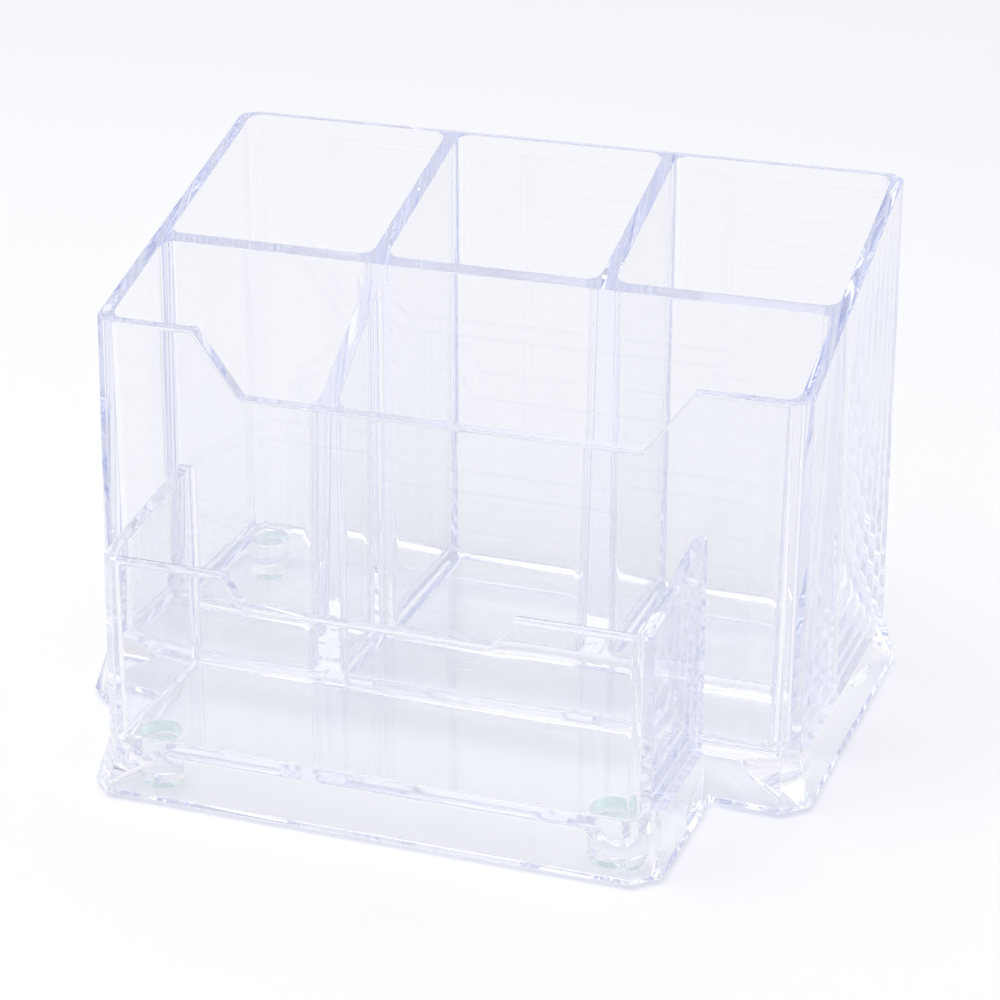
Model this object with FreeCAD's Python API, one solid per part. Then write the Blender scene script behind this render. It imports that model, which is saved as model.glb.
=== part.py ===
import FreeCAD, Part
import math
import os

from FreeCAD import Vector

# Clear desk caddy: one moulding with six open compartments on a flared plinth,
# standing on four round stick-on feet. Millimetres, +Z up, the front towards -Y.
# The origin is at table level, under the middle of the whole footprint.
# Heights below are above the plinth's lower edge, widths where wall meets plinth.

# Main box
body_width = 165.0
body_depth = 87.0
rear_height = 118.5
front_height = 91.5
corner_cut = 3.5            # each upright outer corner is cut back by this, both ways
draft_angle = 0.55          # degrees, on every upright face, so that the part leaves its mould

# Tray in front of the box
tray_width = 123.0
tray_reach = 41.0           # front of the box to front of the tray
tray_rear_height = 60.0
tray_front_height = 53.5

# Walls, measured at their thin upper ends
outer_wall = 2.8
cross_wall = 3.0
divider_wall = 3.3
cross_wall_setback = 32.2   # front of the box to front face of the cross wall
front_divider_drop = 3.4    # high end of the front divider, below the cross wall's rim

# Notches in the two front walls
box_notch_depth = 14.5
box_notch_run = 10.8        # sideways run of a slanted side
box_shoulder = 25.5         # wall left at full height on each side
tray_notch_depth = 6.5
tray_notch_run = 4.2
tray_shoulder = 29.5
notch_radius = 1.5

# Plinth, floor and underside
plinth_height = 10.5
plinth_flare = 3.2
floor_height = 11.0
floor_thickness = 2.2
skirt_wall = 2.8
hollow_roof_cut = 11.5      # slanting corners of the hollow, wide under the floor
hollow_mouth_cut = 2.5      # and narrow at its lower edge

# Rounding inside the compartments
pocket_radius = 3.0
tray_pocket_radius = 1.5

# Stick-on feet and the posts that carry them
foot_diameter = 9.0
foot_thickness = 2.0
foot_bevel = 1.0
foot_standing = 1.2         # how far the feet hold the plinth off the table
foot_inset = 13.0           # middle of a foot, in from both edges of the plinth
post_margin = 0.5           # the post is this much wider than the foot, all round

# Gate mark under the middle of the floor
gate_diameter = 5.5
gate_depth = 0.6

# Levels and places worked out from the sizes above
slope = math.tan(math.radians(draft_angle))
plinth_low = foot_standing
plinth_top = plinth_low + plinth_height
floor_z = plinth_low + floor_height
roof_z = floor_z - floor_thickness
rear_z = plinth_low + rear_height
front_z = plinth_low + front_height
tray_rear_z = plinth_low + tray_rear_height
tray_front_z = plinth_low + tray_front_height
box_notch_z = front_z - box_notch_depth
tray_notch_z = tray_front_z - tray_notch_depth

half_body = body_width / 2
half_tray = tray_width / 2
back_y = (body_depth + tray_reach) / 2
front_y = back_y - body_depth
tray_y = front_y - tray_reach
buried = outer_wall         # how far the tray's outside runs on into the box
margin = 1.0                # how far cutting tools run past what they cut


def lean_in(z):
    """How far an outer face has come in at height z."""
    return (z - plinth_top) * slope


# Limits of the compartments at the level of the back wall's top
inner_left = -half_body + lean_in(rear_z) + outer_wall
inner_right = -inner_left
inner_back = back_y - lean_in(rear_z) - outer_wall
inner_front = front_y + lean_in(rear_z) + outer_wall
notch_inner_y = inner_front + (rear_z - box_notch_z) * slope  # front wall's inside at the notch
cross_front = front_y + cross_wall_setback
cross_rear = cross_front + cross_wall
rear_pocket_width = (inner_right - inner_left - 2 * divider_wall) / 3
divider_pitch = rear_pocket_width + divider_wall


def rim_z(y):
    """Height of the sloping rims, between the level tops of front wall and back wall."""
    return front_z + (y - inner_front) * (rear_z - front_z) / (inner_back - inner_front)


def rectangle(left, right, low, high, inset):
    """Plan of a rectangle, brought in on all sides by the inset."""
    left, right, low, high = left + inset, right - inset, low + inset, high - inset
    return [(left, low), (right, low), (right, high), (left, high)]


def cut_corners(left, right, low, high, cut, rear_cut):
    """Plan of a rectangle with slanting corners; rear_cut of 0 leaves the rear ones square."""
    points = [(left + cut, low), (right - cut, low), (right, low + cut)]
    if rear_cut:
        points += [(right, high - rear_cut), (right - rear_cut, high)]
        points += [(left + rear_cut, high), (left, high - rear_cut)]
    else:
        points += [(right, high), (left, high)]
    return points + [(left, low + cut)]


def flat_face(corners):
    """Face inside a closed run of corners that lie in one plane."""
    return Part.Face(Part.makePolygon(corners + corners[:1]))


def solid_between(lower_plan, low_z, upper_plan, high_z):
    """Solid between two plans with equally many corners, counted against the clock."""
    lower = [Vector(x, y, low_z) for x, y in lower_plan]
    upper = [Vector(x, y, high_z) for x, y in upper_plan]
    faces = [flat_face(lower[::-1]), flat_face(upper)]
    for index in range(len(lower)):
        faces.append(flat_face([lower[index - 1], lower[index], upper[index], upper[index - 1]]))
    shell = Part.makeShell(faces)
    shell.sewShape()
    return Part.Solid(shell)


def prism_along_x(points, left, right):
    """Prism with its outline in Y and Z."""
    corners = [Vector(left, y, z) for y, z in points]
    return flat_face(corners).extrude(Vector(right - left, 0, 0))


def prism_along_y(points, near, far):
    """Prism with its outline in X and Z."""
    corners = [Vector(x, near, z) for x, z in points]
    return flat_face(corners).extrude(Vector(0, far - near, 0))


def lies_at(z):
    """Test for edges that lie level at height z."""
    return lambda edge: all(abs(vertex.Z - z) < 0.001 for vertex in edge.Vertexes)


def edges_of(shape, test):
    """Edges of a shape that pass a test."""
    return [edge for edge in shape.Edges if test(edge)]


def box_shell():
    """Outside of the main box, leaning in by the draft, as one block."""
    lower = cut_corners(-half_body, half_body, front_y, back_y, corner_cut, corner_cut)
    inset = lean_in(rear_z)
    upper = cut_corners(-half_body + inset, half_body - inset, front_y + inset, back_y - inset,
                        corner_cut, corner_cut)
    return solid_between(lower, plinth_top, upper, rear_z)


def tray_shell():
    """Outside of the tray as one block, which runs a little way into the box."""
    rear = front_y + buried
    lower = cut_corners(-half_tray, half_tray, tray_y, rear, corner_cut, 0)
    inset = lean_in(tray_rear_z)
    upper = cut_corners(-half_tray + inset, half_tray - inset, tray_y + inset, rear, corner_cut, 0)
    return solid_between(lower, plinth_top, upper, tray_rear_z)


def plinth():
    """Flared foot of the box and of the tray: each face below a wall slants out equally."""
    wide_cut = corner_cut + plinth_flare * (2 - math.sqrt(2))
    blocks = []
    for half_width, low, high, rear_cut, wide_rear_cut, rear_flare in (
            (half_body, front_y, back_y, corner_cut, wide_cut, plinth_flare),
            (half_tray, tray_y, front_y + buried, 0, 0, 0)):
        upper = cut_corners(-half_width, half_width, low, high, corner_cut, rear_cut)
        lower = cut_corners(-half_width - plinth_flare, half_width + plinth_flare,
                            low - plinth_flare, high + rear_flare, wide_cut, wide_rear_cut)
        blocks.append(solid_between(lower, plinth_low, upper, plinth_top))
    return blocks[0].fuse(blocks[1])


def pocket(left, right, low, high, top_z, radius):
    """Cutting tool of a compartment: its opening at top_z, narrowing down to a rounded floor."""
    taper = (top_z - floor_z) * slope
    tool = solid_between(rectangle(left, right, low, high, taper), floor_z,
                         rectangle(left, right, low, high, 0), top_z)
    return tool.makeFillet(radius, edges_of(tool, lambda edge: not lies_at(top_z)(edge)))


def box_pocket(left, right, low, high):
    return pocket(left, right, low, high, rear_z, pocket_radius)


def box_pockets():
    """Three compartments behind the cross wall, one narrow and one wide in front of it."""
    tools = []
    for index in range(3):
        left = inner_left + index * divider_pitch
        tools.append(box_pocket(left, left + rear_pocket_width, cross_rear, inner_back))
    front_split = inner_left + rear_pocket_width
    tools.append(box_pocket(inner_left, front_split, inner_front, cross_front))
    tools.append(box_pocket(front_split + divider_wall, inner_right, inner_front, cross_front))
    return tools


def front_divider_tool():
    """Lowers the front divider to a slope from the notch up to the cross wall."""
    room = box_pocket(inner_left, inner_right, inner_front, cross_front)
    high_z = rim_z(cross_front) - front_divider_drop
    above = prism_along_x([(front_y, box_notch_z), (notch_inner_y, box_notch_z),
                           (cross_front, high_z), (cross_rear, high_z),
                           (cross_rear, rear_z + margin), (front_y, rear_z + margin)],
                          inner_left + pocket_radius, inner_right - pocket_radius)
    return above.common(room)


def box_rim_tool():
    """Everything above the rims of the box."""
    side = half_body + margin
    return prism_along_x([(tray_y, front_z), (inner_front, front_z), (inner_back, rear_z),
                          (inner_back, rear_z + margin), (tray_y, rear_z + margin)], -side, side)


def tray_pocket():
    """Inside of the tray; its rear face is the front of the box."""
    top_z = tray_rear_z + margin
    inset = lean_in(top_z)
    wall = outer_wall - margin * slope
    return pocket(-half_tray + inset + wall, half_tray - inset - wall,
                  tray_y + inset + wall, front_y + inset, top_z, tray_pocket_radius)


def tray_rim_tool():
    """Everything above the rims of the tray, up against the front of the box."""
    side = half_tray + margin
    top_z = tray_rear_z + margin
    level_end = tray_y + lean_in(tray_front_z) + outer_wall
    return prism_along_x([(tray_y - margin, tray_front_z), (level_end, tray_front_z),
                          (front_y + lean_in(tray_rear_z), tray_rear_z),
                          (front_y + lean_in(top_z), top_z), (tray_y - margin, top_z)],
                         -side, side)


def notch(half_top, run, floor_level, top_level, near, far):
    """Cutting tool of a notch with slanted sides and softened lower corners."""
    half_floor = half_top - run
    reach = run * margin / (top_level - floor_level)
    tool = prism_along_y([(-half_floor, floor_level), (half_floor, floor_level),
                          (half_top + reach, top_level + margin),
                          (-half_top - reach, top_level + margin)], near, far)
    lower = edges_of(tool, lambda edge: lies_at(floor_level)(edge)
                     and abs(edge.Vertexes[0].Y - edge.Vertexes[1].Y) > 0.001)
    return tool.makeFillet(notch_radius, lower)


def box_notch():
    return notch(half_body - box_shoulder, box_notch_run, box_notch_z, front_z,
                 front_y - margin, notch_inner_y)


def tray_notch():
    return notch(half_tray - tray_shoulder, tray_notch_run, tray_notch_z, tray_front_z,
                 tray_y - margin, tray_y + 2 * outer_wall)


def hollow_part(half_width, low, high):
    """Hollow inside one part of the plinth: sides along the flare, corners cut off steeply."""
    under_z = plinth_low - margin
    narrowing = plinth_flare / plinth_height
    at_mouth = skirt_wall - margin * narrowing
    at_roof = skirt_wall + (roof_z - plinth_low) * narrowing
    mouth = cut_corners(at_mouth - half_width, half_width - at_mouth, low + at_mouth,
                        high - at_mouth, hollow_mouth_cut, hollow_mouth_cut)
    roof = cut_corners(at_roof - half_width, half_width - at_roof, low + at_roof,
                       high - at_roof, hollow_roof_cut, hollow_roof_cut)
    return solid_between(mouth, under_z, roof, roof_z)


def hollow():
    """Open underside, one space below box and tray."""
    under_box = hollow_part(half_body + plinth_flare, front_y - plinth_flare,
                            back_y + plinth_flare)
    under_tray = hollow_part(half_tray + plinth_flare, tray_y - plinth_flare, back_y)
    return under_box.fuse(under_tray)


def foot_places():
    """Front feet under the tray's corners, rear feet under the back corners of the box."""
    front_x = half_tray + plinth_flare - foot_inset
    rear_x = half_body + plinth_flare - foot_inset
    near_y = tray_y - plinth_flare + foot_inset
    far_y = back_y + plinth_flare - foot_inset
    return {"foot_front_left": (-front_x, near_y), "foot_front_right": (front_x, near_y),
            "foot_rear_left": (-rear_x, far_y), "foot_rear_right": (rear_x, far_y)}


def posts():
    """Posts under the floor, which end where the feet are stuck on."""
    radius = foot_diameter / 2 + post_margin
    length = roof_z - foot_thickness + floor_thickness / 2
    return [Part.makeCylinder(radius, length, Vector(x, y, foot_thickness))
            for x, y in foot_places().values()]


def organizer_body():
    """The clear moulding."""
    body = box_shell().fuse([tray_shell(), plinth()])
    body = body.cut([tray_pocket(), tray_rim_tool()])
    body = body.cut(box_pockets())
    body = body.cut([front_divider_tool(), box_rim_tool()])
    body = body.cut([box_notch(), tray_notch()])
    body = body.cut(hollow())
    body = body.fuse(posts())
    gate_mark = Part.makeCylinder(gate_diameter / 2, gate_depth + margin,
                                  Vector(0, 0, roof_z - margin))
    return body.cut(gate_mark).removeSplitter().Solids[0]


def foot(x, y):
    """Round foot: flat sticky back on top, bevelled towards the table."""
    disc = Part.makeCylinder(foot_diameter / 2, foot_thickness, Vector(x, y, 0))
    return disc.makeChamfer(foot_bevel, edges_of(disc, lies_at(0)))


def main():
    os.makedirs("parts", exist_ok=True)
    pieces = {"organizer_body": organizer_body()}
    for name, (x, y) in foot_places().items():
        pieces[name] = foot(x, y)
    for name, shape in pieces.items():
        shape.exportStep("parts/" + name + ".step")
        print(name, "valid", shape.isValid(), "volume", round(shape.Volume / 1000, 2), "cm3")


main()
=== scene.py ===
import math

import bmesh
import bpy
from mathutils import Matrix, Vector


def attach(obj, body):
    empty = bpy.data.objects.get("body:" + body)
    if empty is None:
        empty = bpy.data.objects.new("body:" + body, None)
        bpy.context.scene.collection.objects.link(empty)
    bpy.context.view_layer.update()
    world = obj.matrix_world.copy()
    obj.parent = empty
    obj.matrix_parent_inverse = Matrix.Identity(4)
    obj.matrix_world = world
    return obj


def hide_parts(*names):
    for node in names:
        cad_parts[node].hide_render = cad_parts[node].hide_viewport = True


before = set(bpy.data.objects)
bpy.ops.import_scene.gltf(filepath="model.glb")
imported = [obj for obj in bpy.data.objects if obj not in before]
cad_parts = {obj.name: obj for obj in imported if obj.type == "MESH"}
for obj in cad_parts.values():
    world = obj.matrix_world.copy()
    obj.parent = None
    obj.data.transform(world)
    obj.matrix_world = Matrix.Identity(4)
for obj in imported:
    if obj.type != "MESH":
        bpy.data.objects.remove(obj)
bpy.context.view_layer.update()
print("frame loaded:", sorted(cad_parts))

# studio: pale floor, white sky behind, cooler sky in front, one big soft lamp
studio = {
    "floorHalf": 3.0,
    "floorColour": (0.93, 0.93, 0.935, 1.0),
    "skyFront": (0.82, 0.84, 0.95, 1.0),
    "skySide": (1.0, 1.0, 1.0, 1.0),
    "skyBehind": (1.35, 1.35, 1.37, 1.0),  # a lit backdrop, seen in faces that look up
    "skyStrength": 0.85,
    "frontBand": (-0.9, 0.35),  # where the sky turns from front to side, along Y
    "behindBand": (0.5, 0.85),
    "lampPlace": (-0.25, -0.45, 1.4),
    "lampAim": (0, 0, 0.05),
    "lampSize": (1.6, 1.2),
    "lampPower": 7.7,
}


def worldRamp(tree, value, band):
    ramp = tree.nodes.new("ShaderNodeMapRange")
    ramp.inputs["From Min"].default_value, ramp.inputs["From Max"].default_value = band
    tree.links.new(value, ramp.inputs["Value"])
    return ramp.outputs[0]


def worldMix(tree, factor, low, high):
    mix = tree.nodes.new("ShaderNodeMix")
    mix.data_type = "RGBA"
    tree.links.new(factor, mix.inputs[0])
    for socket, value in ((mix.inputs["A"], low), (mix.inputs["B"], high)):
        if isinstance(value, tuple):
            socket.default_value = value
        else:
            tree.links.new(value, socket)
    return mix.outputs["Result"]


def buildSky():
    world = bpy.data.worlds.new("studioSky")
    bpy.context.scene.world = world
    world.use_nodes = True
    tree = world.node_tree
    back = tree.nodes["Background"]
    where = tree.nodes.new("ShaderNodeTexCoord")
    split = tree.nodes.new("ShaderNodeSeparateXYZ")
    tree.links.new(where.outputs["Generated"], split.inputs[0])
    fromFront = worldRamp(tree, split.outputs["Y"], studio["frontBand"])
    toBehind = worldRamp(tree, split.outputs["Y"], studio["behindBand"])
    side = worldMix(tree, fromFront, studio["skyFront"], studio["skySide"])
    whole = worldMix(tree, toBehind, side, studio["skyBehind"])
    tree.links.new(whole, back.inputs["Color"])
    back.inputs["Strength"].default_value = studio["skyStrength"]


def buildLamp():
    light = bpy.data.lights.new("topBox", "AREA")
    light.shape = "RECTANGLE"
    light.size, light.size_y = studio["lampSize"]
    light.energy = studio["lampPower"]
    lamp = bpy.data.objects.new("topBox", light)
    lamp.location = studio["lampPlace"]
    sight = Vector(studio["lampAim"]) - lamp.location
    lamp.rotation_euler = sight.to_track_quat("-Z", "Y").to_euler()
    bpy.context.scene.collection.objects.link(lamp)


# camera at the photo's angle, fitted to the corners of the object
cameraSetup = {
    "azimuth": 19.47,
    "elevation": 21.79,
    "roll": 0.41,
    "aim": (0.0, 0.0205, 0.0612),
    "distance": 0.6746,
    "slide": (-0.00042, -0.01503),
    "lens": 106.07,
    "sensor": 36,
}


def buildCamera():
    azimuth, elevation, roll = (math.radians(cameraSetup[k]) for k in ("azimuth", "elevation", "roll"))
    back = Vector((math.sin(azimuth) * math.cos(elevation), -math.cos(azimuth) * math.cos(elevation),
                   math.sin(elevation)))
    right = Vector((math.cos(azimuth), math.sin(azimuth), 0))
    up = right.cross(-back)
    place = Vector(cameraSetup["aim"]) + back * cameraSetup["distance"]
    place += right * cameraSetup["slide"][0] + up * cameraSetup["slide"][1]
    tilted = right * math.cos(roll) + up * math.sin(roll)
    raised = up * math.cos(roll) - right * math.sin(roll)
    turn = Matrix((tilted, raised, back)).transposed().to_4x4()
    lens = bpy.data.cameras.new("productCamera")
    lens.lens = cameraSetup["lens"]
    lens.sensor_width = cameraSetup["sensor"]
    camera = bpy.data.objects.new("productCamera", lens)
    camera.matrix_world = Matrix.Translation(place) @ turn
    bpy.context.scene.collection.objects.link(camera)
    bpy.context.scene.camera = camera


def groupNode(tree, kind, wires, **settings):
    node = tree.nodes.new(kind)
    for key, value in settings.items():
        setattr(node, key, value)
    for socket, value in wires.items():
        if isinstance(value, bpy.types.NodeSocket):
            tree.links.new(value, node.inputs[socket])
        else:
            node.inputs[socket].default_value = value
    return node


fineSurfaceSetup = {"detail": 1.0, "centre": 0.5, "depth": 0.00005}


def fineSurface():  # slight unevenness of gloss and form, shared by every material
    group = bpy.data.node_groups.new("fineSurface", "ShaderNodeTree")
    for name in ("Scale", "Middle", "Spread", "Ripple"):
        group.interface.new_socket(name, in_out="INPUT", socket_type="NodeSocketFloat")
    group.interface.new_socket("Roughness", in_out="OUTPUT", socket_type="NodeSocketFloat")
    group.interface.new_socket("Normal", in_out="OUTPUT", socket_type="NodeSocketVector")
    given = group.nodes.new("NodeGroupInput").outputs
    result = group.nodes.new("NodeGroupOutput")
    place = group.nodes.new("ShaderNodeTexCoord").outputs["Object"]
    cloud = groupNode(group, "ShaderNodeTexNoise",
                      {"Vector": place, "Scale": given["Scale"], "Detail": fineSurfaceSetup["detail"]})
    height = cloud.outputs["Fac"]
    centred = groupNode(group, "ShaderNodeMath",
                        {0: height, 1: fineSurfaceSetup["centre"]}, operation="SUBTRACT")
    gloss = groupNode(group, "ShaderNodeMath",
                      {0: centred.outputs[0], 1: given["Spread"], 2: given["Middle"]},
                      operation="MULTIPLY_ADD")
    relief = groupNode(group, "ShaderNodeBump",
                       {"Strength": given["Ripple"], "Height": height,
                        "Distance": fineSurfaceSetup["depth"]})
    group.links.new(gloss.outputs[0], result.inputs["Roughness"])
    group.links.new(relief.outputs["Normal"], result.inputs["Normal"])
    return group


surfaceGroup = fineSurface()


def newMaterial(name, setup):
    material = bpy.data.materials.new(name)
    material.use_nodes = True
    tree = material.node_tree
    shader = tree.nodes["Principled BSDF"]
    skin = tree.nodes.new("ShaderNodeGroup")
    skin.node_tree = surfaceGroup
    for socket in ("Scale", "Middle", "Spread", "Ripple"):
        skin.inputs[socket].default_value = setup[socket.lower()]
    tree.links.new(skin.outputs["Roughness"], shader.inputs["Roughness"])
    tree.links.new(skin.outputs["Normal"], shader.inputs["Normal"])
    for socket, value in setup["shader"].items():
        shader.inputs[socket].default_value = value
    if "absorb" in setup:
        depth = tree.nodes.new("ShaderNodeVolumeAbsorption")
        depth.inputs["Color"].default_value = setup["absorb"]
        depth.inputs["Density"].default_value = setup["density"]
        tree.links.new(depth.outputs[0], tree.nodes["Material Output"].inputs["Volume"])
    return material


floorPaper = {"scale": 900.0, "middle": 0.9, "spread": 0.08, "ripple": 0.2,
              "shader": {"Base Color": studio["floorColour"], "Specular IOR Level": 0.0}}


def buildFloor():
    mesh = bpy.data.meshes.new("studioFloor")
    half = studio["floorHalf"]
    corners = [(-half, -half, 0), (half, -half, 0), (half, half, 0), (-half, half, 0)]
    mesh.from_pydata(corners, [], [(0, 1, 2, 3)])
    mesh.materials.append(newMaterial("floorPaper", floorPaper))
    floor = bpy.data.objects.new("studioFloor", mesh)
    bpy.context.scene.collection.objects.link(floor)


buildFloor()
buildSky()
buildLamp()
buildCamera()

lightPaths = {
    "bounces": 128,  # light runs up and down inside a thin wall many times
    "clearBounces": 32,
    "blur": 0.1,
}
view = bpy.context.scene
view.view_settings.view_transform = "Standard"
view.cycles.max_bounces = lightPaths["bounces"]
view.cycles.transmission_bounces = lightPaths["bounces"]
view.cycles.glossy_bounces = lightPaths["bounces"]
view.cycles.transparent_max_bounces = lightPaths["clearBounces"]
view.cycles.caustics_refractive = True
view.cycles.caustics_reflective = True
view.cycles.blur_glossy = lightPaths["blur"]
print("studio and camera ready")

# the moulding: the CAD solid with softened edges
moulding = {
    "scale": 35.0, "middle": 0.008, "spread": 0.008, "ripple": 0.12,
    "shader": {"Base Color": (0.968, 0.97, 0.975, 1), "IOR": 1.59, "Transmission Weight": 1.0},
    "absorb": (0.76, 0.79, 0.93, 1.0),
    "density": 6.0,
    "frontRimEdge": 0.0008,  # the front edge of the two front rims is softened most
    "frontRimLow": 0.04,  # these rims lie above this height
    "frontRimY": -0.02,  # and in front of this line
    "facing": 0.9,  # how squarely the face before such an edge looks to the front
    "rising": 0.5,  # and how much the one behind it looks up
    "otherEdge": 0.3,  # all other edges, as a share of that
    "edgeSteps": 3,
    "staysSharp": (  # low and high corners of places where the softening would overlap itself
        ((-0.0775, 0.0105, 0.095), (0.0775, 0.0615, 0.120)),  # mouths of the rear compartments
        ((-0.060, -0.0240, 0.060), (0.060, -0.0190, 0.063)),  # tray walls against the front wall
        ((-0.036, 0.0075, 0.0960), (-0.018, 0.0104, 0.1000)),  # front divider at the cross wall
        ((-0.036, -0.0196, 0.0765), (-0.018, -0.0180, 0.0790)),  # and at the notch
    ),
    "sharpFrom": math.radians(25),
    "flatWithin": math.radians(0.3),  # triangles of one plane are joined
    "weld": 0.000002,
    "tinyStep": 0.0001,  # steps of a rim's smallest arcs, joined so that the softening stays clean
    "faceWeight": 100,
}


def staysSharp(edge):
    middle = (edge.verts[0].co + edge.verts[1].co) / 2
    return any(all(low[i] < middle[i] < high[i] for i in range(3))
               for low, high in moulding["staysSharp"])


def isFrontRim(edge):
    middle = (edge.verts[0].co + edge.verts[1].co) / 2
    facing = any(face.normal.y < -moulding["facing"] for face in edge.link_faces)
    rising = any(face.normal.z > moulding["rising"] for face in edge.link_faces)
    return facing and rising and middle.z > moulding["frontRimLow"] and middle.y < moulding["frontRimY"]


def merged(name, node):
    piece = bpy.data.objects.new(name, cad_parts[node].data.copy())
    bpy.context.scene.collection.objects.link(piece)
    piece.data.materials.clear()
    work = bmesh.new()
    work.from_mesh(piece.data)
    bmesh.ops.remove_doubles(work, verts=work.verts, dist=moulding["weld"])
    bmesh.ops.dissolve_limit(work, angle_limit=moulding["flatWithin"], verts=work.verts, edges=work.edges)
    tiny = [v for e in work.edges if e.calc_length() < moulding["tinyStep"]
            and e.calc_face_angle(0) > moulding["sharpFrom"] for v in e.verts]
    bmesh.ops.remove_doubles(work, verts=list(set(tiny)), dist=moulding["tinyStep"])
    weights = work.edges.layers.float.new("bevel_weight_edge")
    for edge in work.edges:
        edge.smooth = edge.calc_face_angle(0) < moulding["sharpFrom"]
        if edge.is_convex and not edge.smooth and not staysSharp(edge):
            edge.smooth = True
            edge[weights] = 1.0 if isFrontRim(edge) else moulding["otherEdge"]
    work.to_mesh(piece.data)
    work.free()
    for face in piece.data.polygons:
        face.use_smooth = True
    return piece


body = merged("clearBody", "organizer_body")
body.data.materials.append(newMaterial("clearStyrene", moulding))
bevel = body.modifiers.new("softEdges", "BEVEL")
bevel.width = moulding["frontRimEdge"]
bevel.segments = moulding["edgeSteps"]
bevel.limit_method = "WEIGHT"
bevel.use_clamp_overlap = False  # the shortest arc steps would hold every edge back
flatFaces = body.modifiers.new("flatFaces", "WEIGHTED_NORMAL")  # broad faces stay optically flat
flatFaces.weight = moulding["faceWeight"]
flatFaces.keep_sharp = True
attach(body, "root")
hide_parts("organizer_body")
print("moulding done")

# the stick-on pads: one disc, set at the four places by geometry nodes
pad = {
    "nodes": ("foot_front_left", "foot_front_right", "foot_rear_left", "foot_rear_right"),
    "gap": 0.00006,  # film of air above the pads, so that no two faces coincide
    "roll": 0.001,
    "margin": 0.00005,
    "dish": 0.00006,  # the underside is dished, so that only its ring meets the table
    "ring": 0.0004,
    "shoulder": (0.0002, 0.0003),  # small slope at the upper edge, in and down
    "rollSteps": 6,
    "roundSteps": 64,
    "weld": 0.00001,
    "scale": 500.0, "middle": 0.12, "spread": 0.06, "ripple": 0.3,
    "shader": {"Base Color": (0.90, 0.985, 0.95, 1.0), "IOR": 1.12, "Transmission Weight": 1.0},
}


def nodeBox(node):
    corners = [v.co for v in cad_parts[node].data.vertices]
    return [[pick(c[i] for c in corners) for i in range(3)] for pick in (min, max)]


def padDisc(radius, height):
    top, roll = height - pad["gap"], pad["roll"]
    shoulderIn, shoulderDown = pad["shoulder"]
    points = [(0.0, top), (radius - shoulderIn, top), (radius, height - shoulderDown)]
    for step in range(pad["rollSteps"] + 1):
        turn = math.radians(90 * step / pad["rollSteps"])
        points.append((radius - roll + roll * math.cos(turn), roll - roll * math.sin(turn)))
    points += [(radius - roll - pad["ring"], pad["dish"]), (0.0, pad["dish"])]
    work = bmesh.new()
    verts = [work.verts.new((r, 0, z)) for r, z in points]
    edges = [work.edges.new(pair) for pair in zip(verts, verts[1:])]
    bmesh.ops.spin(work, geom=verts + edges, cent=(0, 0, 0), axis=(0, 0, 1),
                   angle=math.radians(360), steps=pad["roundSteps"], use_duplicate=False)
    bmesh.ops.remove_doubles(work, verts=work.verts, dist=pad["weld"])
    bmesh.ops.recalc_face_normals(work, faces=work.faces)
    mesh = bpy.data.meshes.new("padDisc")
    work.to_mesh(mesh)
    work.free()
    for face in mesh.polygons:
        face.use_smooth = True
    disc = bpy.data.objects.new("padDisc", mesh)
    bpy.context.scene.collection.objects.link(disc)
    return disc


def padRepeat(disc, material):
    group = bpy.data.node_groups.new("padRepeat", "GeometryNodeTree")
    spots = group.interface.new_socket("Spots", in_out="INPUT", socket_type="NodeSocketGeometry")
    shape = group.interface.new_socket("Disc", in_out="INPUT", socket_type="NodeSocketObject")
    paint = group.interface.new_socket("Paint", in_out="INPUT", socket_type="NodeSocketMaterial")
    group.interface.new_socket("Pads", in_out="OUTPUT", socket_type="NodeSocketGeometry")
    given = group.nodes.new("NodeGroupInput").outputs
    result = group.nodes.new("NodeGroupOutput")
    source = groupNode(group, "GeometryNodeObjectInfo", {"Object": given["Disc"]})
    copies = groupNode(group, "GeometryNodeInstanceOnPoints", {"Points": given["Spots"],
                                                               "Instance": source.outputs["Geometry"]})
    real = groupNode(group, "GeometryNodeRealizeInstances", {"Geometry": copies.outputs[0]})
    painted = groupNode(group, "GeometryNodeSetMaterial", {"Geometry": real.outputs[0],
                                                           "Material": given["Paint"]})
    group.links.new(painted.outputs[0], result.inputs["Pads"])
    return group, {shape.identifier: disc, paint.identifier: material}


def buildPads():
    boxes = [nodeBox(node) for node in pad["nodes"]]
    low, high = boxes[0]
    disc = padDisc((high[0] - low[0]) / 2 - pad["margin"], high[2])
    mesh = bpy.data.meshes.new("padSpots")
    mesh.from_pydata([((a[0] + b[0]) / 2, (a[1] + b[1]) / 2, 0) for a, b in boxes], [], [])
    pads = bpy.data.objects.new("clearPads", mesh)
    bpy.context.scene.collection.objects.link(pads)
    repeat = pads.modifiers.new("padRepeat", "NODES")
    repeat.node_group, values = padRepeat(disc, newMaterial("clearPad", pad))
    for identifier, value in values.items():
        repeat[identifier] = value
    solid = bpy.data.meshes.new_from_object(pads.evaluated_get(bpy.context.evaluated_depsgraph_get()))
    pads.modifiers.clear()
    pads.data = solid
    bpy.data.objects.remove(disc)
    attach(pads, "root")
    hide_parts(*pad["nodes"])
    print("pads:", len(solid.polygons), "faces")


buildPads()

print("pieces done")
